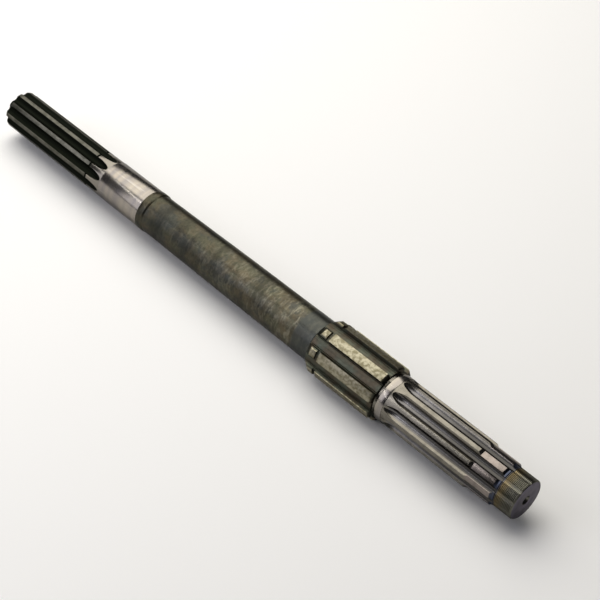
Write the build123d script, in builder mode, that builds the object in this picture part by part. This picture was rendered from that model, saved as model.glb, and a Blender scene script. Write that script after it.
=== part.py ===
from build123d import *
import math
import os

# Splined transmission shaft, turned from one bar and hobbed at both ends.
# Millimetres. The axis lies along X, the threaded end points to +X, Z is up.
# The origin is where the axis meets the end face of the splined band.

# splined band for a sliding hub: eight straight-sided teeth
band_od = 60.0
band_root_d = 52.0
band_teeth = 8
band_tooth_width = 10.0
band_length = 85.0
band_lead_in = 5.8          # length of the long bevel on the far end of the teeth
band_end_bevel = 2.1        # length of the short bevel on the shoulder end
band_end_bevel_depth = 1.6
band_root_relief_width = 1.4
band_root_relief_depth = 0.4
ring_groove_width = 3.8
ring_groove_depth = 2.4
ring_groove_from_face = 69.1  # shoulder face to the near wall of the groove
short_land_corner = 1.9     # bevel along both edges of the short lands past the groove

# grinding relief and bearing seat beside the shoulder
relief_d = 47.0
relief_width = 3.6
near_seat_d = 50.2
near_seat_length = 7.9
seat_edge = 1.0             # plain ring between a seat and the tips of the hob run-outs

# near spline: ten involute teeth, open towards the thread
near_teeth = 10
near_od = 49.6              # a little under the seat, so that a bearing passes over the teeth
near_module = 4.5
near_tooth_arc = 6.6        # tooth thickness measured round the pitch circle
near_root_d = 40.4
near_floor_rise = 2.0       # height of the rounded floor of a tooth space
near_land_angle = 33.6      # direction of one tooth, measured from +Y towards +Z
near_full_od_end = 112.0    # shoulder face to the end of the full diameter
near_step_bevel = 3.0
near_low_d = 46.0
near_low_length = 29.0      # with the step's bevel
hob_radius_near = 27.0

# threaded end
thread_d = 42.0
thread_length = 25.0        # with the bevel at the ends of the teeth
thread_bevel = 1.2
centre_hole_d = 10.0
centre_pilot_d = 4.0
centre_pilot_depth = 9.0

# far spline: ten involute teeth with narrow lands and deep spaces
far_teeth = 10
far_module = 4.0
far_tooth_arc = 5.55
far_od = 43.1
far_root_d = 36.0
far_floor_rise = 1.9
far_land_angle = 26.3
far_spline_length = 152.2   # far end face to the seat
far_end_bevel = 2.6
far_end_bevel_depth = 1.5
hob_radius_far = 40.0
clip_groove_from_seat = 21.2  # to the middle of the narrow groove near the run-outs
clip_groove_width = 2.2
clip_groove_depth = 1.0
far_hole_d = 8.0

# far seat and the rough body between the seat and the band
far_seat_d = 43.6
far_seat_length = 58.1
body_start_from_face = 333.4
body_ring_length = 7.5
body_ring_taper = 2.0
body_ring_d = 44.2
body_start_d = 42.4
body_middle_from_face = 205.0
body_middle_d = 44.9
body_band_from_face = 109.0
body_band_d = 45.9
neck_d = 46.2
neck_fillet = 2.6

# stations along the axis
near_low_end = near_full_od_end + near_low_length
shaft_end = near_low_end + thread_length
body_start = -body_start_from_face
body_middle_at = -body_middle_from_face
body_band_at = -body_band_from_face
far_seat_end = body_start - far_seat_length
clip_groove_at = far_seat_end - clip_groove_from_seat
far_end = far_seat_end - far_spline_length

# room that the cutters take beyond the metal
cutter_room = 2.0

pressure_angle = math.radians(30)


def run_out_length(root_d, outer_d, hob_radius):
    """Length over which a hob of this radius lifts out of its full depth."""
    depth = (outer_d - root_d) / 2
    return math.sqrt(2 * hob_radius * depth - depth**2)


near_full_depth_at = (
    relief_width
    + near_seat_length
    + seat_edge
    + run_out_length(near_root_d, near_od, hob_radius_near)
)
far_full_depth_at = (
    far_seat_end - seat_edge - run_out_length(far_root_d, far_od, hob_radius_far)
)


def involute(angle):
    """Involute function of a pressure angle."""
    return math.tan(angle) - angle


def half_gap_angle(radius, module, teeth, tooth_arc):
    """Half the angle of a tooth space at one radius."""
    pitch_radius = module * teeth / 2
    base_radius = pitch_radius * math.cos(pressure_angle)
    if radius > base_radius:
        flank = involute(math.acos(base_radius / radius))
    else:
        flank = 0.0
    half_tooth = tooth_arc / (2 * pitch_radius) + involute(pressure_angle) - flank
    return math.pi / teeth - half_tooth


def flank_points(module, teeth, tooth_arc, inner_radius, outer_radius):
    """Three points up one involute flank of a tooth space, the space standing along +Y."""
    points = []
    for step in range(3):
        radius = inner_radius + (outer_radius - inner_radius) * step / 2
        angle = half_gap_angle(radius, module, teeth, tooth_arc)
        points.append((radius * math.sin(angle), radius * math.cos(angle)))
    return points


def space_face(module, teeth, tooth_arc, root_radius, outer_radius, floor_rise):
    """Outline of one tooth space: an arc for the floor and one for each involute flank."""
    right = flank_points(module, teeth, tooth_arc, root_radius + floor_rise, outer_radius)
    left = [(-x, y) for x, y in right]
    cap = outer_radius + cutter_room
    # the flanks carry on straight above the tooth tips
    spread = (right[-1][0] - right[-2][0]) / (right[-1][1] - right[-2][1])
    top = right[-1][0] + spread * (cap - right[-1][1])
    with BuildSketch(Plane.XY, mode=Mode.PRIVATE) as outline:
        with BuildLine():
            ThreePointArc(*right)
            Line(right[-1], (top, cap))
            Line((top, cap), (-top, cap))
            Line((-top, cap), left[-1])
            ThreePointArc(*left)
            ThreePointArc(left[0], (0, root_radius), right[0])
        make_face()
    return outline.sketch


# tooth spaces are drawn looking along +X, with the sketch's x along Y and its y along Z
def across(x):
    """Plane square to the shaft at one station."""
    return Plane(origin=(x, 0, 0), x_dir=(0, 1, 0), z_dir=(1, 0, 0))


near_space = space_face(
    near_module, near_teeth, near_tooth_arc, near_root_d / 2, near_od / 2, near_floor_rise
)
far_space = space_face(
    far_module, far_teeth, far_tooth_arc, far_root_d / 2, far_od / 2, far_floor_rise
)

# near cutter: straight to the thread end, then up the arc of the hob towards the seat
with BuildPart() as near_cutter:
    with BuildSketch(across(near_full_depth_at)):
        add(near_space)
    extrude(amount=shaft_end - near_full_depth_at + cutter_room)
    hob_height = near_root_d / 2 + hob_radius_near
    hob_axis = Axis((near_full_depth_at, 0, hob_height), (0, 1, 0))
    with BuildSketch(across(near_full_depth_at)):
        add(near_space)
    revolve(axis=hob_axis, revolution_arc=50)

# far cutter: straight to the far end, then up the arc of a larger hob
with BuildPart() as far_cutter:
    with BuildSketch(across(far_full_depth_at)):
        add(far_space)
    extrude(amount=far_end - far_full_depth_at - cutter_room)
    hob_height = far_root_d / 2 + hob_radius_far
    hob_axis = Axis((far_full_depth_at, 0, hob_height), (0, -1, 0))
    with BuildSketch(across(far_full_depth_at)):
        add(far_space)
    revolve(axis=hob_axis, revolution_arc=40)


# milling profile of the band: everything outside the root circle except the eight teeth
band_tooth_direction = 90 + 180 / band_teeth
with BuildPart() as band_cutter:
    with BuildSketch(across(-band_length - cutter_room)):
        Circle(band_od / 2 + cutter_room)
        Circle(band_root_d / 2, mode=Mode.SUBTRACT)
        with PolarLocations(0, band_teeth, start_angle=band_tooth_direction):
            Rectangle(band_od + 3 * cutter_room, band_tooth_width, mode=Mode.SUBTRACT)
        relief_across = band_tooth_width / 2 + band_root_relief_width / 2
        relief_up = math.sqrt((band_root_d / 2) ** 2 - relief_across**2)
        with PolarLocations(0, band_teeth, start_angle=band_tooth_direction):
            with Locations((relief_up, relief_across), (relief_up, -relief_across)):
                Rectangle(2 * band_root_relief_depth, band_root_relief_width)
    extrude(amount=band_length + 2 * cutter_room)
    # bevels along the short lands, between the end of the band and the ring groove
    with BuildSketch(across(-band_length - cutter_room)):
        with PolarLocations(0, band_teeth, start_angle=band_tooth_direction):
            for side in (1, -1):
                edge = side * band_tooth_width / 2
                corner = side * (band_tooth_width / 2 - short_land_corner)
                tip = band_od / 2
                Polygon(
                    (tip + 1, edge + side),
                    (tip + 1, corner - side),
                    (tip - short_land_corner - 1, edge + side),
                    align=None,
                )
    extrude(amount=band_length + cutter_room - ring_groove_from_face - ring_groove_width / 2)

with BuildPart() as splined_shaft:
    # turned blank, drawn as a half section with the radius along Y
    with BuildSketch(Plane.XY):
        with BuildLine():
            clip_left = clip_groove_at - clip_groove_width / 2
            clip_right = clip_groove_at + clip_groove_width / 2
            clip_floor = far_od / 2 - clip_groove_depth
            ring_left = -ring_groove_from_face - ring_groove_width
            ring_floor = band_od / 2 - ring_groove_depth
            Polyline(
                (shaft_end, 0),
                (far_end, 0),
                (far_end, far_od / 2 - far_end_bevel_depth),
                (far_end + far_end_bevel, far_od / 2),
                (clip_left, far_od / 2),
                (clip_left, clip_floor),
                (clip_right, clip_floor),
                (clip_right, far_od / 2),
                (far_seat_end, far_od / 2),
                (far_seat_end, far_seat_d / 2),
                (body_start, far_seat_d / 2),
                (body_start, body_ring_d / 2),
                (body_start + body_ring_length, body_ring_d / 2),
                (body_start + body_ring_length + body_ring_taper, body_start_d / 2),
                (body_middle_at, body_middle_d / 2),
                (body_band_at, body_band_d / 2),
                (body_band_at + 0.6, neck_d / 2),
                (-band_length - neck_fillet, neck_d / 2),
            )
            Bezier(
                (-band_length - neck_fillet, neck_d / 2),
                (-band_length, neck_d / 2),
                (-band_length, neck_d / 2 + neck_fillet),
            )
            Polyline(
                (-band_length, neck_d / 2 + neck_fillet),
                (-band_length, band_root_d / 2),
                (-band_length + band_lead_in, band_od / 2),
                (ring_left, band_od / 2),
                (ring_left, ring_floor),
                (-ring_groove_from_face, ring_floor),
                (-ring_groove_from_face, band_od / 2),
                (-band_end_bevel, band_od / 2),
                (0, band_od / 2 - band_end_bevel_depth),
                (0, relief_d / 2),
                (relief_width, relief_d / 2),
                (relief_width, near_seat_d / 2),
                (relief_width + near_seat_length, near_seat_d / 2),
                (relief_width + near_seat_length, near_od / 2),
                (near_full_od_end, near_od / 2),
                (near_full_od_end + near_step_bevel, near_low_d / 2),
                (near_low_end, near_low_d / 2),
                (near_low_end + (near_low_d - thread_d) / 2, thread_d / 2),
                (shaft_end - thread_bevel, thread_d / 2),
                (shaft_end, thread_d / 2 - thread_bevel),
                (shaft_end, 0),
            )
        make_face()
    revolve(axis=Axis.X)

    add(band_cutter.part, mode=Mode.SUBTRACT)
    for tooth in range(near_teeth):
        turn = near_land_angle + (tooth + 0.5) * 360 / near_teeth - 90
        add(near_cutter.part, rotation=(turn, 0, 0), mode=Mode.SUBTRACT)
    for tooth in range(far_teeth):
        turn = far_land_angle + (tooth + 0.5) * 360 / far_teeth - 90
        add(far_cutter.part, rotation=(turn, 0, 0), mode=Mode.SUBTRACT)

    # centre holes: a 60 degree cone with a short pilot behind it
    with BuildSketch(Plane.XY):
        with BuildLine():
            cone_depth = (centre_hole_d - centre_pilot_d) / 2 / math.tan(math.radians(30))
            Polyline(
                (shaft_end, 0),
                (shaft_end, centre_hole_d / 2),
                (shaft_end - cone_depth, centre_pilot_d / 2),
                (shaft_end - cone_depth - centre_pilot_depth, centre_pilot_d / 2),
                (shaft_end - cone_depth - centre_pilot_depth, 0),
                (shaft_end, 0),
            )
        make_face()
    revolve(axis=Axis.X, mode=Mode.SUBTRACT)
    with BuildSketch(Plane.XY):
        with BuildLine():
            cone_depth = (far_hole_d - centre_pilot_d) / 2 / math.tan(math.radians(30))
            Polyline(
                (far_end, 0),
                (far_end, far_hole_d / 2),
                (far_end + cone_depth, centre_pilot_d / 2),
                (far_end + cone_depth + centre_pilot_depth, centre_pilot_d / 2),
                (far_end + cone_depth + centre_pilot_depth, 0),
                (far_end, 0),
            )
        make_face()
    revolve(axis=Axis.X, mode=Mode.SUBTRACT)
splined_shaft.part.label = "splined_shaft"

os.makedirs("parts", exist_ok=True)
export_step(splined_shaft.part, "parts/splined_shaft.step")
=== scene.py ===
import bisect
import math

import bmesh
import bpy
from mathutils import Matrix, Vector, noise


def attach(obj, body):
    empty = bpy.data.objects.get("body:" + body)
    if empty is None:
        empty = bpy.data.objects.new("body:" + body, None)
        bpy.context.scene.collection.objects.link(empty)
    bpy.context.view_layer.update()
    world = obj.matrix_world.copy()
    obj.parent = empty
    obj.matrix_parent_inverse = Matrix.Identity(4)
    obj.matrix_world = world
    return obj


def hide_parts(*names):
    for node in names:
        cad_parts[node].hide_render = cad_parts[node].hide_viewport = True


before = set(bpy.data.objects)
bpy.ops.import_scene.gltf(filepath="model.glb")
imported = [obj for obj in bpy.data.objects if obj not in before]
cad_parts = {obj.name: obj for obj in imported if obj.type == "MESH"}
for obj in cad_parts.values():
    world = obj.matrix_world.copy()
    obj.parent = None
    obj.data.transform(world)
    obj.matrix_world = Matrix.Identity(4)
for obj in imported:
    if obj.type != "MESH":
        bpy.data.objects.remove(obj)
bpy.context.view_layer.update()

scene = bpy.context.scene
print("frame loaded")

# half section of the turned blank in millimetres: station, radius, edge break
blank = {
    "steps": 144,                            # faces round the axis
    "segmentsOver": {2.0: 6, 1.0: 3, 0.0: 2},  # segments of an edge break larger than this
    "longEdge": 90.0, "bodyFrom": -330.0, "bodyTo": -85.0,
    "bodyCuts": 30,                          # rings added to each long edge of the rough body
    "mergeWithin": 0.001,
    "section": [
        (151.8, 0.0, 0), (151.8, 2.0, 0), (160.8, 2.0, 0),          # pilot of the centre hole
        (166.0, 5.0, 0.25), (166.0, 19.8, 0.2), (164.8, 21.0, 0.2),  # end face and thread bevel
        (143.0, 21.0, 0), (141.0, 23.0, 0.4),                      # thread, then the lowered teeth
        (115.0, 23.0, 0), (112.0, 24.8, 0.4),
        (11.5, 24.8, 0), (11.5, 25.1, 0.1), (3.6, 25.1, 0.35),      # near seat
        (3.6, 23.5, 0.5), (0.0, 23.5, 0.5),                        # grinding relief
        (0.0, 28.4, 0.2), (-2.1, 30.0, 0.3),                       # shoulder of the band
        (-69.1, 30.0, 0.3), (-69.1, 27.6, 0.3), (-72.9, 27.6, 0.3), (-72.9, 30.0, 0.3),
        (-79.2, 30.0, 0.5), (-85.0, 25.9, 0.3), (-85.0, 23.1, 2.4),  # lead-in and neck
        (-108.4, 23.1, 0), (-109.0, 22.95, 0), (-205.0, 22.45, 0), (-323.9, 21.2, 0),
        (-325.9, 22.1, 0.5), (-333.4, 22.1, 0.3), (-333.4, 21.8, 0),
        (-391.5, 21.8, 0.1), (-391.5, 21.55, 0),                    # far seat
        (-411.6, 21.55, 0.15), (-411.6, 20.55, 0.2), (-413.8, 20.55, 0.2), (-413.8, 21.55, 0.15),
        (-541.1, 21.55, 1.1), (-543.7, 20.05, 0.5), (-543.7, 4.0, 0.25),
        (-540.24, 2.0, 0), (-531.24, 2.0, 0), (-531.24, 0.0, 0),
    ],
}


def turnAbout(bm, angle):
    bmesh.ops.rotate(bm, verts=bm.verts[:], cent=(0, 0, 0), matrix=Matrix.Rotation(angle, 3, "X"))


def repeatRound(bm, count):
    bmesh.ops.spin(bm, geom=bm.verts[:] + bm.edges[:] + bm.faces[:], cent=(0, 0, 0), axis=(1, 0, 0),
                   angle=math.tau * (count - 1) / count, steps=count - 1, use_duplicate=True)


def pushAlong(bm, geom, distance):
    # moves the points of an extrusion along the axis
    bmesh.ops.translate(bm, verts=[v for v in geom if isinstance(v, bmesh.types.BMVert)],
                        vec=(distance, 0, 0))


def closeEnd(bm, geom):
    bmesh.ops.contextual_create(bm, geom=[e for e in geom if isinstance(e, bmesh.types.BMEdge)])


def turnBlank(spec):
    bm = bmesh.new()
    line = [bm.verts.new((x, 0, r)) for x, r, _ in spec["section"]]
    for a, b in zip(line, line[1:]):
        bm.edges.new((a, b))
    breaks = {}
    for vert, point in zip(line, spec["section"]):
        if point[2]:
            breaks.setdefault(point[2], []).append(vert)
    for size, verts in breaks.items():
        segments = next(count for limit, count in spec["segmentsOver"].items() if size > limit)
        bmesh.ops.bevel(bm, geom=verts, offset=size, offset_type="OFFSET", segments=segments,
                        profile=0.5, affect="VERTICES", material=-1)
    # more rings along the rough body, so that its skin can wander
    longEdges = [e for e in bm.edges if e.calc_length() > spec["longEdge"]
                 and max(v.co.x for v in e.verts) < spec["bodyTo"]
                 and min(v.co.x for v in e.verts) > spec["bodyFrom"]]
    bmesh.ops.subdivide_edges(bm, edges=longEdges, cuts=spec["bodyCuts"])
    bmesh.ops.spin(bm, geom=bm.verts[:] + bm.edges[:], cent=(0, 0, 0), axis=(1, 0, 0),
                   angle=math.tau, steps=spec["steps"], use_merge=True)
    # half a face round, so that no edge of the blank lies on the middle of a tooth space
    turnAbout(bm, math.pi / spec["steps"])
    bmesh.ops.remove_doubles(bm, verts=bm.verts[:], dist=spec["mergeWithin"])
    bmesh.ops.recalc_face_normals(bm, faces=bm.faces[:])
    return bm


def finishMesh(bm, name):
    mesh = bpy.data.meshes.new(name)
    bm.to_mesh(mesh)
    bm.free()
    return mesh


shaftObject = bpy.data.objects.new("splinedShaft", finishMesh(turnBlank(blank), "splinedShaft"))
scene.collection.objects.link(shaftObject)
print("blank turned:", len(shaftObject.data.polygons), "faces")

hobbing = {
    "pressureAngle": 30.0, "floorSteps": 8, "flankSteps": 6, "runOutSteps": 26,
    "breakReach": 0.5, "breakAcross": 1.25, "breakUp": 0.75, "clearUp": 0.6,
}
nearSpline = {
    "teeth": 10, "module": 4.5, "toothArc": 6.6, "root": 20.2, "tip": 24.8, "floorRise": 2.0,
    "landAngle": 33.6, "start": 12.5, "straight": 142.0, "hobRadius": 27.0, "hobTurn": 50.0,
    "edgeBreak": 0.22,
}
farSpline = {
    "teeth": 10, "module": 4.0, "toothArc": 5.55, "root": 18.0, "tip": 21.55, "floorRise": 1.9,
    "landAngle": 26.3, "start": -392.5, "straight": -137.0, "hobRadius": 40.0, "hobTurn": 40.0,
    "edgeBreak": 0.18,
}
for spline in (nearSpline, farSpline):
    rise = spline["tip"] - spline["root"]
    lift = math.sqrt(2 * spline["hobRadius"] * rise - rise ** 2)
    # the station where the hob reaches its full depth
    spline["fullDepthAt"] = spline["start"] + math.copysign(lift, spline["straight"])


def involute(angle):
    return math.tan(angle) - angle


def halfGap(spec, radius):
    pitchRadius = spec["module"] * spec["teeth"] / 2
    pressure = math.radians(hobbing["pressureAngle"])
    baseRadius = pitchRadius * math.cos(pressure)
    flank = involute(math.acos(min(1, baseRadius / radius)))
    return math.pi / spec["teeth"] - spec["toothArc"] / (2 * pitchRadius) - involute(pressure) + flank


def spaceOutline(spec):
    # one side of a tooth space from the middle of its floor up past the tooth tip
    firstRadius = spec["root"] + spec["floorRise"]
    angle = halfGap(spec, firstRadius)
    foot = Vector((firstRadius * math.sin(angle), firstRadius * math.cos(angle)))
    rise = foot.y - spec["root"]
    floorRadius = (foot.x ** 2 + rise ** 2) / (2 * rise)
    sweep = math.asin(min(1, foot.x / floorRadius))
    half = []
    for step in range(hobbing["floorSteps"]):
        a = sweep * step / hobbing["floorSteps"]
        half.append((floorRadius * math.sin(a), spec["root"] + floorRadius * (1 - math.cos(a))))
    lastRadius = spec["tip"] - spec["edgeBreak"]
    for step in range(hobbing["flankSteps"] + 1):
        radius = firstRadius + (lastRadius - firstRadius) * step / hobbing["flankSteps"]
        angle = halfGap(spec, radius)
        half.append((radius * math.sin(angle), radius * math.cos(angle)))
    # past the flank the cutter leans outwards and breaks the tooth's edge
    reach = spec["edgeBreak"] + hobbing["breakReach"]
    half.append((half[-1][0] + reach * hobbing["breakAcross"], half[-1][1] + reach * hobbing["breakUp"]))
    half.append((half[-1][0], half[-1][1] + hobbing["clearUp"]))
    return half + [(-x, y) for x, y in reversed(half[1:])]


def cutSpaces(spec):
    bm = bmesh.new()
    ring = [bm.verts.new((spec["fullDepthAt"], x, y)) for x, y in spaceOutline(spec)]
    edges = [bm.edges.new((a, b)) for a, b in zip(ring, ring[1:] + ring[:1])]
    # straight run to the open end
    out = bmesh.ops.extrude_edge_only(bm, edges=edges)["geom"]
    pushAlong(bm, out, spec["straight"])
    closeEnd(bm, out)
    # run-out up the arc of the hob
    turn = math.copysign(math.radians(spec["hobTurn"]), spec["straight"])
    hobAxis = (spec["fullDepthAt"], 0, spec["root"] + spec["hobRadius"])
    closeEnd(bm, bmesh.ops.spin(bm, geom=edges, cent=hobAxis, axis=(0, 1, 0), angle=turn,
                                steps=hobbing["runOutSteps"])["geom_last"])
    bmesh.ops.recalc_face_normals(bm, faces=bm.faces[:])
    # the first space stands beside the named tooth, the others follow round the axis
    turnAbout(bm, math.radians(spec["landAngle"] - 90) + math.pi / spec["teeth"])
    repeatRound(bm, spec["teeth"])
    return finishMesh(bm, "spaces")


def subtract(mesh):
    cutter = bpy.data.objects.new("cutter", mesh)
    scene.collection.objects.link(cutter)
    boolean = shaftObject.modifiers.new("cut", "BOOLEAN")
    boolean.operation = "DIFFERENCE"
    boolean.solver = "EXACT"
    boolean.object = cutter
    graph = bpy.context.evaluated_depsgraph_get()
    result = bpy.data.meshes.new_from_object(shaftObject.evaluated_get(graph))
    shaftObject.modifiers.clear()
    shaftObject.data = result
    bpy.data.objects.remove(cutter)
    bpy.data.meshes.remove(mesh)


subtract(cutSpaces(nearSpline))
subtract(cutSpaces(farSpline))
print("splines hobbed:", len(shaftObject.data.polygons), "faces")

band = {
    "teeth": 8, "toothWidth": 10.0, "root": 26.0, "tip": 30.0, "from": -87.0, "to": 2.0,
    "reliefWidth": 1.4, "reliefDepth": 0.4, "reliefCorner": 0.15, "reliefToe": 0.3, "reliefHeel": 0.1,
    "edgeBreak": 0.3, "breakReach": 0.9, "clearUp": 1.4, "floorSteps": 5,
    "shortLandTo": -71.0, "shortLandBevel": 1.9, "shortLandClear": 1,
}


def bandPoint(up, across):
    # a point on the flank side of the tooth to the right of a space that stands along +Z
    lean = math.pi / band["teeth"]
    return (across * math.cos(lean) + up * math.sin(lean),
            -across * math.sin(lean) + up * math.cos(lean))


def cutBand(spec):
    half = spec["toothWidth"] / 2
    rootUp = math.sqrt(spec["root"] ** 2 - half ** 2)
    top = spec["tip"] - spec["edgeBreak"]
    reliefUp = math.sqrt(spec["root"] ** 2 - (half + spec["reliefWidth"]) ** 2)
    corner, reach = spec["reliefCorner"], spec["breakReach"]
    side = [
        bandPoint(reliefUp, -half - spec["reliefWidth"]),
        bandPoint(reliefUp - corner, -half - spec["reliefWidth"] + corner),
        bandPoint(rootUp - spec["reliefDepth"] - corner, -half - spec["reliefToe"]),
        bandPoint(rootUp - spec["reliefDepth"] + spec["reliefHeel"], -half),
        bandPoint(top, -half),
        bandPoint(top + reach, -half + reach),
        bandPoint(top + spec["clearUp"], -half + reach),
    ]
    stop = math.atan2(side[0][0], side[0][1])
    angles = [stop * step / spec["floorSteps"] for step in range(spec["floorSteps"])]
    floor = [(spec["root"] * math.sin(a), spec["root"] * math.cos(a)) for a in angles]
    right = floor + side
    outline = right + [(-x, y) for x, y in reversed(right[1:])]
    bm = bmesh.new()
    face = bm.faces.new([bm.verts.new((spec["from"], x, y)) for x, y in outline])
    out = bmesh.ops.extrude_face_region(bm, geom=[face])["geom"]
    pushAlong(bm, out, spec["to"] - spec["from"])
    bmesh.ops.recalc_face_normals(bm, faces=bm.faces[:])
    repeatRound(bm, spec["teeth"])
    return finishMesh(bm, "bandSpaces")


def cutShortLands(spec):
    # a bevel along both edges of each short land past the ring groove
    leg, clear = spec["shortLandBevel"], spec["shortLandClear"]
    half, tip = spec["toothWidth"] / 2, spec["tip"]
    bm = bmesh.new()
    for side in (1, -1):
        corners = [(tip + clear, side * (half + clear)), (tip + clear, side * (half - leg - clear)),
                   (tip - leg - clear, side * (half + clear))]
        face = bm.faces.new([bm.verts.new((spec["from"], across, up)) for up, across in corners])
        out = bmesh.ops.extrude_face_region(bm, geom=[face])["geom"]
        pushAlong(bm, out, spec["shortLandTo"] - spec["from"])
    turnAbout(bm, math.pi / spec["teeth"])
    bmesh.ops.recalc_face_normals(bm, faces=bm.faces[:])
    repeatRound(bm, spec["teeth"])
    return finishMesh(bm, "shortLands")


subtract(cutBand(band))
subtract(cutShortLands(band))
print("band milled:", len(shaftObject.data.polygons), "faces")

thread = {
    "pitch": 1.5, "crest": 21.0, "depth": 0.85, "from": 145.2, "to": 168.0, "perTurn": 96,
    "halfWidth": 0.62, "halfFloor": 0.1, "clearOut": 0.06, "clearUp": 0.3,
}


def cutThread(spec):
    bm = bmesh.new()
    width, flat, crest = spec["halfWidth"], spec["halfFloor"], spec["crest"]
    floor, over, wide = crest - spec["depth"], crest + spec["clearUp"], width + spec["clearOut"]
    section = [(-flat, floor), (flat, floor), (width, crest),
               (wide, over), (-wide, over), (-width, crest)]
    ring = [bm.verts.new((spec["from"] + x, 0, r)) for x, r in section]
    edges = [bm.edges.new((a, b)) for a, b in zip(ring, ring[1:] + ring[:1])]
    turns = math.ceil((spec["to"] - spec["from"]) / spec["pitch"])
    advance = (spec["pitch"] / spec["perTurn"], 0, 0)
    closeEnd(bm, bmesh.ops.spin(bm, geom=edges, cent=(0, 0, 0), axis=(1, 0, 0), dvec=advance,
                                angle=math.tau * turns, steps=turns * spec["perTurn"])["geom_last"])
    closeEnd(bm, edges)
    bmesh.ops.recalc_face_normals(bm, faces=bm.faces[:])
    return finishMesh(bm, "threadGroove")


subtract(cutThread(thread))
print("thread cut:", len(shaftObject.data.polygons), "faces")

zones = {
    # the last station of each finish, from the far end: far spline, seat, body, band, near spline
    "ends": (-391.0, -333.39, -85.0, 0.01, 142.0), "seatFinish": 1, "nearFinish": 4,
    "nearSeatEnd": 12.5, "nearSeatRadius": 24.9,
    "mergeWithin": 0.002, "smoothAngle": 24.0, "toMetres": 0.001,
    "skinFrom": -322.0, "skinTo": -112.0, "skinWander": 0.05,
    "wanderAlong": 0.05, "wanderAround": 0.12,
}


def dressMesh(spec):
    bm = bmesh.new()
    bm.from_mesh(shaftObject.data)
    bmesh.ops.remove_doubles(bm, verts=bm.verts[:], dist=spec["mergeWithin"])
    bmesh.ops.dissolve_degenerate(bm, edges=bm.edges[:], dist=spec["mergeWithin"])
    bmesh.ops.recalc_face_normals(bm, faces=bm.faces[:])
    # the rough skin of the body wanders a little from round
    for vert in bm.verts:
        if spec["skinFrom"] < vert.co.x < spec["skinTo"]:
            along, around = spec["wanderAlong"], spec["wanderAround"]
            x, y, z = vert.co
            swell = noise.noise(Vector((x * along, y * around, z * around)))
            vert.co.yz *= 1 + swell * spec["skinWander"] / vert.co.yz.length
    for face in bm.faces:
        middle = face.calc_center_median()
        finish = bisect.bisect_right(spec["ends"], middle.x)
        onNearSeat = middle.x < spec["nearSeatEnd"] and middle.yz.length > spec["nearSeatRadius"]
        if finish == spec["nearFinish"] and onNearSeat:
            finish = spec["seatFinish"]
        face.material_index = finish
        face.smooth = True
    bmesh.ops.scale(bm, verts=bm.verts[:], vec=[spec["toMetres"]] * 3)
    mesh = finishMesh(bm, "splinedShaft")
    mesh.set_sharp_from_angle(angle=math.radians(spec["smoothAngle"]))
    shaftObject.data = mesh


dressMesh(zones)
print("mesh dressed:", len(shaftObject.data.vertices), "points")

def newGroup(name, inputs, outputs):
    tree = bpy.data.node_groups.new(name, "ShaderNodeTree")
    for label, value in inputs.items():
        socket = tree.interface.new_socket(label, in_out="INPUT", socket_type="NodeSocketFloat")
        socket.default_value = value
    for label in outputs:
        tree.interface.new_socket(label, in_out="OUTPUT", socket_type="NodeSocketFloat")
    source = tree.nodes.new("NodeGroupInput")
    sink = tree.nodes.new("NodeGroupOutput")
    return tree, source, sink


def addNode(tree, kind, **settings):
    node = tree.nodes.new(kind)
    for key, value in settings.items():
        if key == "inputs":
            for slot, given in value.items():
                node.inputs[slot].default_value = given
        else:
            setattr(node, key, value)
    return node


def mathNode(tree, operation, a, b=None, c=None, clamp=False):
    node = addNode(tree, "ShaderNodeMath", operation=operation, use_clamp=clamp)
    for slot, given in enumerate((a, b, c)):
        if given is None:
            continue
        if isinstance(given, (int, float)):
            node.inputs[slot].default_value = given
        else:
            tree.links.new(given, node.inputs[slot])
    return node.outputs[0]


def splitPlace(tree):
    place = addNode(tree, "ShaderNodeTexCoord")
    split = addNode(tree, "ShaderNodeSeparateXYZ")
    tree.links.new(place.outputs["Object"], split.inputs[0])
    return place.outputs["Object"], split.outputs


def stepBetween(tree, value, middle, soft):
    # 0 below the middle, 1 above it, smooth over the soft width on either side
    low = mathNode(tree, "SUBTRACT", middle, soft)
    high = mathNode(tree, "ADD", middle, soft)
    node = addNode(tree, "ShaderNodeMapRange", interpolation_type="SMOOTHSTEP")
    tree.links.new(value, node.inputs["Value"])
    tree.links.new(low, node.inputs["From Min"])
    tree.links.new(high, node.inputs["From Max"])
    return node.outputs["Result"]


def makeDepthGroup():
    # how deep a point lies below a tooth crest: 1 in a space, 0 on a land
    tree, source, sink = newGroup("spaceMask", {"Radius": 0.0245, "Softness": 0.0002}, ["Mask"])
    _, xyz = splitPlace(tree)
    across, up = (mathNode(tree, "POWER", value, 2) for value in (xyz[1], xyz[2]))
    radius = mathNode(tree, "SQRT", mathNode(tree, "ADD", across, up))
    above = stepBetween(tree, radius, source.outputs["Radius"], source.outputs["Softness"])
    tree.links.new(mathNode(tree, "SUBTRACT", 1.0, above), sink.inputs["Mask"])
    return tree


def makeStationGroup():
    # 0 before a station on the axis, 1 past it
    tree, source, sink = newGroup("alongMask", {"Station": 0.0, "Softness": 0.001}, ["Mask"])
    _, xyz = splitPlace(tree)
    tree.links.new(stepBetween(tree, xyz[0], source.outputs["Station"], source.outputs["Softness"]),
                   sink.inputs["Mask"])
    return tree


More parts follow.
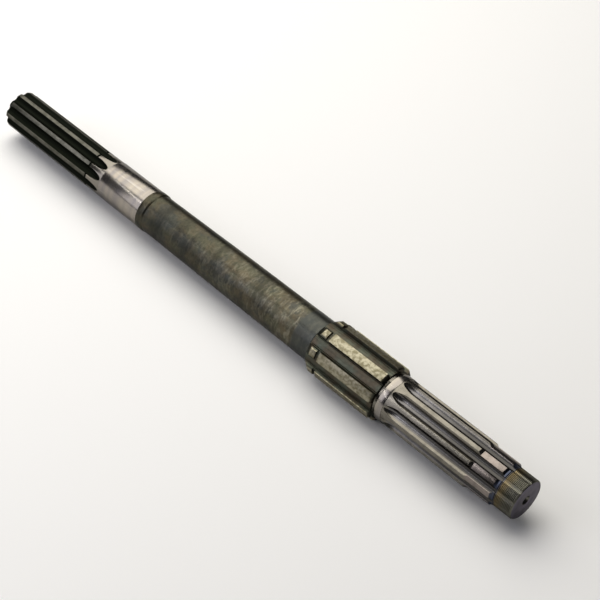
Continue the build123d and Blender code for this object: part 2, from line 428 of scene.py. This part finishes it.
def makeGrainGroup():
    # grain drawn out round the axis (turning) or along it (milling), by the two stretch values
    tree, source, sink = newGroup(
        "drawnGrain", {"Along": 900.0, "Around": 40.0, "Detail": 3.0, "Shift": 0.0}, ["Fine", "Coarse"])
    place, _ = splitPlace(tree)
    stretch = addNode(tree, "ShaderNodeCombineXYZ")
    tree.links.new(source.outputs["Along"], stretch.inputs[0])
    tree.links.new(source.outputs["Around"], stretch.inputs[1])
    tree.links.new(source.outputs["Around"], stretch.inputs[2])
    drawn = addNode(tree, "ShaderNodeVectorMath", operation="MULTIPLY")
    tree.links.new(place, drawn.inputs[0])
    tree.links.new(stretch.outputs[0], drawn.inputs[1])
    moved = addNode(tree, "ShaderNodeVectorMath", operation="ADD")
    tree.links.new(drawn.outputs[0], moved.inputs[0])
    tree.links.new(source.outputs["Shift"], moved.inputs[1])
    for label, scale in (("Fine", 1.0), ("Coarse", 0.27)):
        grain = addNode(tree, "ShaderNodeTexNoise", inputs={"Scale": scale, "Roughness": 0.6})
        tree.links.new(moved.outputs[0], grain.inputs["Vector"])
        tree.links.new(source.outputs["Detail"], grain.inputs["Detail"])
        tree.links.new(grain.outputs[0], sink.inputs[label])
    return tree


def makeStainGroup():
    # patches of a given size: 1 inside them, 0 outside
    tree, source, sink = newGroup(
        "stains", {"Size": 60.0, "Cover": 0.5, "Edge": 0.08, "Shift": 0.0}, ["Mask"])
    place, _ = splitPlace(tree)
    moved = addNode(tree, "ShaderNodeVectorMath", operation="ADD")
    tree.links.new(place, moved.inputs[0])
    tree.links.new(source.outputs["Shift"], moved.inputs[1])
    clouds = addNode(tree, "ShaderNodeTexNoise", inputs={"Detail": 6.0, "Roughness": 0.62})
    tree.links.new(moved.outputs[0], clouds.inputs["Vector"])
    tree.links.new(source.outputs["Size"], clouds.inputs["Scale"])
    threshold = mathNode(tree, "SUBTRACT", 1.0, source.outputs["Cover"])
    inside = stepBetween(tree, clouds.outputs[0], threshold, source.outputs["Edge"])
    tree.links.new(inside, sink.inputs["Mask"])
    return tree


groups = {"depth": makeDepthGroup(), "station": makeStationGroup(), "grain": makeGrainGroup(),
          "stain": makeStainGroup()}


def useGroup(tree, name, output, **values):
    node = addNode(tree, "ShaderNodeGroup", node_tree=groups[name])
    for label, value in values.items():
        node.inputs[label].default_value = value
    return node.outputs[output]


def mixColour(tree, mask, a, b):
    node = addNode(tree, "ShaderNodeMix", data_type="RGBA")
    for slot, given in ((0, mask), (6, a), (7, b)):
        if isinstance(given, bpy.types.NodeSocket):
            tree.links.new(given, node.inputs[slot])
        elif slot:
            node.inputs[slot].default_value = (*given, 1)
        else:
            node.inputs[slot].default_value = given
    return node.outputs[2]


def mixValue(tree, mask, a, b):
    node = addNode(tree, "ShaderNodeMix", data_type="FLOAT")
    for slot, given in ((0, mask), (2, a), (3, b)):
        if isinstance(given, bpy.types.NodeSocket):
            tree.links.new(given, node.inputs[slot])
        else:
            node.inputs[slot].default_value = given
    return node.outputs[0]


def newSteel(name, metallic, tint=0.5):
    material = bpy.data.materials.new(name)
    material.use_nodes = True
    tree = material.node_tree
    skin = tree.nodes["Principled BSDF"]
    skin.inputs["Metallic"].default_value = metallic
    skin.inputs["Specular Tint"].default_value = (tint, tint, tint, 1)
    return material, tree, skin


def bump(tree, skin, height, strength, distance):
    node = addNode(tree, "ShaderNodeBump", inputs={"Strength": strength, "Distance": distance})
    tree.links.new(height, node.inputs["Height"])
    tree.links.new(node.outputs[0], skin.inputs["Normal"])

def share(tree, mask, amount):
    return mathNode(tree, "MULTIPLY", mask, amount)


# colours, then stations and radii in metres, shares of each mask, roughness from and to,
# and the strength and height of the fine relief
farFinish = {
    # space is near black: painted shade in the tooth spaces
    "space": (0.004, 0.005, 0.003), "land": (0.10, 0.097, 0.082), "dark": (0.035, 0.035, 0.027),
    "seat": (0.25, 0.23, 0.20), "spaceBelow": 0.0213, "seatFrom": -0.4117,
    "wear": 0.7, "grainShade": 0.5, "spaceRough": 0.45, "landRough": 0.3, "seatRough": 0.2,
    "relief": (0.15, 0.00008),
}


def farSplineSteel(spec):
    material, tree, skin = newSteel("farSplineSteel", 0.95)
    space = useGroup(tree, "depth", "Mask", Radius=spec["spaceBelow"], Softness=0.00012)
    bright = useGroup(tree, "station", "Mask", Station=spec["seatFrom"], Softness=0.0004)
    grain = useGroup(tree, "grain", "Fine", Along=30.0, Around=900.0, Detail=3.0)
    worn = useGroup(tree, "stain", "Mask", Size=120.0, Cover=0.5, Edge=0.12, Shift=4.0)
    land = mixColour(tree, share(tree, worn, spec["wear"]), spec["land"], spec["dark"])
    land = mixColour(tree, bright, land, spec["seat"])
    land = mixColour(tree, share(tree, grain, spec["grainShade"]), land, spec["dark"])
    # the tooth spaces take the near-black space colour, which is painted shade
    tree.links.new(mixColour(tree, space, land, spec["space"]), skin.inputs["Base Color"])
    landRough = mixValue(tree, bright, spec["landRough"], spec["seatRough"])
    tree.links.new(mixValue(tree, space, landRough, spec["spaceRough"]), skin.inputs["Roughness"])
    bump(tree, skin, grain, *spec["relief"])
    return material


seatFinish = {
    "pale": (0.27, 0.245, 0.21), "deep": (0.205, 0.188, 0.178), "streak": (0.42, 0.40, 0.37),
    "streaks": 0.5, "rough": (0.11, 0.31), "relief": (0.12, 0.00005),
}


def groundSeatSteel(spec):
    material, tree, skin = newSteel("groundSeatSteel", 1.0)
    rings = useGroup(tree, "grain", "Fine", Along=1500.0, Around=14.0, Detail=2.0)
    broad = useGroup(tree, "grain", "Coarse", Along=500.0, Around=9.0, Detail=2.0, Shift=3.0)
    scratch = useGroup(tree, "grain", "Fine", Along=24.0, Around=700.0, Detail=3.0, Shift=9.0)
    scratches = share(tree, stepBetween(tree, scratch, 0.64, 0.05), spec["streaks"])
    steel = mixColour(tree, stepBetween(tree, broad, 0.5, 0.16), spec["pale"], spec["deep"])
    steel = mixColour(tree, scratches, steel, spec["streak"])
    tree.links.new(steel, skin.inputs["Base Color"])
    tree.links.new(mixValue(tree, rings, *spec["rough"]), skin.inputs["Roughness"])
    bump(tree, skin, mathNode(tree, "ADD", rings, scratch), *spec["relief"])
    return material


bodyFinish = {
    "olive": (0.072, 0.070, 0.046), "rust": (0.092, 0.078, 0.050), "slate": (0.042, 0.046, 0.043),
    "pale": (0.19, 0.175, 0.13), "soot": (0.014, 0.014, 0.011),
    "middle": -0.195, "halfLength": 0.13, "neckFrom": -0.1085,
    "slatePatches": 0.75, "streaks": 0.6, "farStreaks": 0.25, "turning": 0.4, "specks": 0.35,
    "farSoot": 0.4, "neckSlate": 0.8, "rough": (0.19, 0.47), "relief": (0.3, 0.00015),
}


def rawBodySteel(spec):
    material, tree, skin = newSteel("rawBodySteel", 0.85)
    rings = useGroup(tree, "grain", "Fine", Along=360.0, Around=110.0, Detail=4.0)
    broad = useGroup(tree, "grain", "Coarse", Along=240.0, Around=80.0, Detail=4.0, Shift=5.0)
    patches = useGroup(tree, "stain", "Mask", Size=55.0, Cover=0.5, Edge=0.08)
    slatePatches = useGroup(tree, "stain", "Mask", Size=38.0, Cover=0.45, Edge=0.08, Shift=7.0)
    specks = useGroup(tree, "stain", "Mask", Size=420.0, Cover=0.44, Edge=0.08, Shift=11.0)
    nearBand = useGroup(tree, "station", "Mask", Station=spec["middle"], Softness=spec["halfLength"])
    neck = useGroup(tree, "station", "Mask", Station=spec["neckFrom"], Softness=0.0015)
    # pale streaks grow and soot fades towards the band
    streak = mathNode(tree, "MULTIPLY", stepBetween(tree, rings, 0.56, 0.1),
                      mathNode(tree, "ADD", nearBand, spec["farStreaks"]))
    turning = share(tree, stepBetween(tree, broad, 0.52, 0.1), spec["turning"])
    farSoot = share(tree, mathNode(tree, "SUBTRACT", 1.0, nearBand), spec["farSoot"])
    base = mixColour(tree, patches, spec["olive"], spec["rust"])
    base = mixColour(tree, share(tree, slatePatches, spec["slatePatches"]), base, spec["slate"])
    base = mixColour(tree, share(tree, streak, spec["streaks"]), base, spec["pale"])
    base = mixColour(tree, turning, base, spec["soot"])
    base = mixColour(tree, share(tree, specks, spec["specks"]), base, spec["soot"])
    base = mixColour(tree, farSoot, base, spec["soot"])
    base = mixColour(tree, share(tree, neck, spec["neckSlate"]), base, spec["slate"])
    tree.links.new(base, skin.inputs["Base Color"])
    tree.links.new(mixValue(tree, broad, *spec["rough"]), skin.inputs["Roughness"])
    bump(tree, skin, mathNode(tree, "ADD", rings, broad), *spec["relief"])
    return material


bandFinish = {
    "land": (0.27, 0.25, 0.185), "landDark": (0.15, 0.135, 0.085), "valley": (0.062, 0.068, 0.052),
    "valleyBrown": (0.060, 0.050, 0.036), "soot": (0.012, 0.013, 0.010), "spaceBelow": 0.0293,
    "lines": 0.55, "rough": (0.3, 0.44), "relief": (0.2, 0.0001),
}


def millBandSteel(spec):
    material, tree, skin = newSteel("millBandSteel", 0.95)
    space = useGroup(tree, "depth", "Mask", Radius=spec["spaceBelow"], Softness=0.0004)
    mottle = useGroup(tree, "stain", "Mask", Size=330.0, Cover=0.5, Edge=0.12)
    brown = useGroup(tree, "stain", "Mask", Size=70.0, Cover=0.5, Edge=0.12, Shift=2.0)
    grain = useGroup(tree, "grain", "Fine", Along=60.0, Around=900.0, Detail=3.0)
    strokes = useGroup(tree, "grain", "Coarse", Along=22.0, Around=1500.0, Detail=4.0, Shift=6.0)
    lines = share(tree, stepBetween(tree, strokes, 0.56, 0.06), spec["lines"])
    land = mixColour(tree, mottle, spec["land"], spec["landDark"])
    valley = mixColour(tree, brown, spec["valley"], spec["valleyBrown"])
    valley = mixColour(tree, lines, valley, spec["soot"])
    tree.links.new(mixColour(tree, space, land, valley), skin.inputs["Base Color"])
    tree.links.new(mixValue(tree, mottle, *spec["rough"]), skin.inputs["Roughness"])
    bump(tree, skin, mathNode(tree, "ADD", mottle, grain), *spec["relief"])
    return material


nearFinish = {
    # space is painted shade in the tooth spaces; runOut is the same floor with less painted shade,
    # towards the seat end
    "land": (0.20, 0.185, 0.155), "low": (0.25, 0.215, 0.195), "space": (0.052, 0.050, 0.048),
    "runOut": (0.15, 0.145, 0.145), "dark": (0.05, 0.047, 0.04),
    "spaceBelow": 0.0226, "lowFrom": 0.1135, "middle": 0.055, "halfLength": 0.05,
    "grainShade": 0.4, "landCloud": 0.3, "floorCloud": 0.35, "rough": (0.16, 0.36),
    "relief": (0.2, 0.00006),
}


def nearSplineSteel(spec):
    material, tree, skin = newSteel("nearSplineSteel", 1.0)
    space = useGroup(tree, "depth", "Mask", Radius=spec["spaceBelow"], Softness=0.0004)
    low = useGroup(tree, "station", "Mask", Station=spec["lowFrom"], Softness=0.0015)
    away = useGroup(tree, "station", "Mask", Station=spec["middle"], Softness=spec["halfLength"])
    grain = useGroup(tree, "grain", "Fine", Along=40.0, Around=1100.0, Detail=3.0)
    cloud = useGroup(tree, "stain", "Mask", Size=150.0, Cover=0.5, Edge=0.12, Shift=5.0)
    land = mixColour(tree, low, spec["land"], spec["low"])
    land = mixColour(tree, share(tree, grain, spec["grainShade"]), land, spec["dark"])
    land = mixColour(tree, share(tree, cloud, spec["landCloud"]), land, spec["dark"])
    # floors and flanks of the spaces: painted shade, lighter towards the seat end and darker further
    # along
    floor = mixColour(tree, away, spec["runOut"], spec["space"])
    floor = mixColour(tree, share(tree, cloud, spec["floorCloud"]), floor, spec["dark"])
    tree.links.new(mixColour(tree, space, land, floor), skin.inputs["Base Color"])
    tree.links.new(mixValue(tree, grain, *spec["rough"]), skin.inputs["Roughness"])
    bump(tree, skin, grain, *spec["relief"])
    return material


threadFinish = {
    "steel": (0.145, 0.142, 0.115), "straw": (0.21, 0.165, 0.085), "blue": (0.05, 0.06, 0.09),
    "endFace": (0.155, 0.142, 0.175), "stain": (0.06, 0.058, 0.055),
    "strawFrom": 0.1463, "steelFrom": 0.152, "faceFrom": 0.1659,
    "stains": 0.4, "rough": (0.22, 0.44), "relief": (0.12, 0.00008),
}


def cutThreadSteel(spec):
    material, tree, skin = newSteel("cutThreadSteel", 1.0)
    past = useGroup(tree, "station", "Mask", Station=spec["steelFrom"], Softness=0.006)
    edge = useGroup(tree, "station", "Mask", Station=spec["strawFrom"], Softness=0.0014)
    face = useGroup(tree, "station", "Mask", Station=spec["faceFrom"], Softness=0.00005)
    mottle = useGroup(tree, "stain", "Mask", Size=190.0, Cover=0.5, Edge=0.15)
    rings = useGroup(tree, "grain", "Coarse", Along=40.0, Around=420.0, Detail=3.0, Shift=2.0)
    base = mixColour(tree, edge, spec["blue"], spec["straw"])
    base = mixColour(tree, past, base, spec["steel"])
    base = mixColour(tree, face, base, spec["endFace"])
    base = mixColour(tree, share(tree, mottle, spec["stains"]), base, spec["stain"])
    tree.links.new(base, skin.inputs["Base Color"])
    tree.links.new(mixValue(tree, rings, *spec["rough"]), skin.inputs["Roughness"])
    bump(tree, skin, mathNode(tree, "ADD", mottle, rings), *spec["relief"])
    return material


for material in (farSplineSteel(farFinish), groundSeatSteel(seatFinish), rawBodySteel(bodyFinish),
                 millBandSteel(bandFinish), nearSplineSteel(nearFinish), cutThreadSteel(threadFinish)):
    shaftObject.data.materials.append(material)
print("finishes applied:", len(shaftObject.data.materials))

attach(shaftObject, "root")
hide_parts("splined_shaft")

studio = {
    "floorHeight": -0.02924, "floorSize": 14.0, "floorRough": 0.9, "floorColour": (0.94, 0.94, 0.94),
    "worldColour": (0.03, 0.032, 0.035), "worldPower": 1.0,
    "lights": [  # name, place, aim, width, length, watts, colour
        ("ceilingPanel", (-1.08, 0.35, 1.64), (-0.19, 0, 0), 2.5, 2.4, 53, (1.0, 0.97, 0.91)),
        ("frontPanel", (-1.22, -1.65, 1.03), (-0.19, 0, 0), 1.3, 2.0, 14, (0.93, 0.92, 1.0)),
        ("tube", (-1.13, -1.31, 1.18), (-0.19, 0, 0), 2.2, 0.07, 4, (1.0, 1.0, 1.0)),
    ],
}


def buildStudio(spec):
    bm = bmesh.new()
    bmesh.ops.create_grid(bm, x_segments=1, y_segments=1, size=spec["floorSize"] / 2)
    bmesh.ops.translate(bm, verts=bm.verts[:], vec=(0, 0, spec["floorHeight"]))
    floor = bpy.data.objects.new("floor", finishMesh(bm, "floor"))
    scene.collection.objects.link(floor)
    paint = bpy.data.materials.new("floorPaint")
    paint.use_nodes = True
    skin = paint.node_tree.nodes["Principled BSDF"]
    skin.inputs["Base Color"].default_value = (*spec["floorColour"], 1)
    skin.inputs["Roughness"].default_value = spec["floorRough"]
    floor.data.materials.append(paint)
    for name, place, aim, width, length, watts, colour in spec["lights"]:
        lamp = bpy.data.lights.new(name, "AREA")
        lamp.shape, lamp.size, lamp.size_y = "RECTANGLE", width, length
        lamp.energy, lamp.color = watts, colour
        holder = bpy.data.objects.new(name, lamp)
        scene.collection.objects.link(holder)
        holder.location = place
        holder.rotation_mode = "QUATERNION"
        holder.rotation_quaternion = (Vector(aim) - Vector(place)).to_track_quat("-Z", "Y")
    world = bpy.data.worlds.new("studioAir")
    world.use_nodes = True
    sky = world.node_tree.nodes["Background"]
    sky.inputs[0].default_value = (*spec["worldColour"], 1)
    sky.inputs[1].default_value = spec["worldPower"]
    scene.world = world
    scene.view_settings.view_transform = "Standard"


cameraSetup = {
    "place": (0.6641, -0.9872, 1.1331), "lens": 106.2,
    "right": (0.70096, 0.70172, 0.12745), "up": (-0.53689, 0.40155, 0.74196),
    "back": (0.46947, -0.58851, 0.65822), "sensor": 36.0, "clipStart": 0.05, "clipEnd": 20.0,
}


def placeCamera(spec):
    data = bpy.data.cameras.new("camera")
    data.sensor_width, data.lens = spec["sensor"], spec["lens"]
    data.clip_start, data.clip_end = spec["clipStart"], spec["clipEnd"]
    holder = bpy.data.objects.new("camera", data)
    scene.collection.objects.link(holder)
    turn = Matrix((spec["right"], spec["up"], spec["back"])).transposed()
    holder.rotation_mode = "QUATERNION"
    holder.rotation_quaternion = turn.to_quaternion()
    holder.location = spec["place"]
    scene.camera = holder


buildStudio(studio)
placeCamera(cameraSetup)
print("studio set")
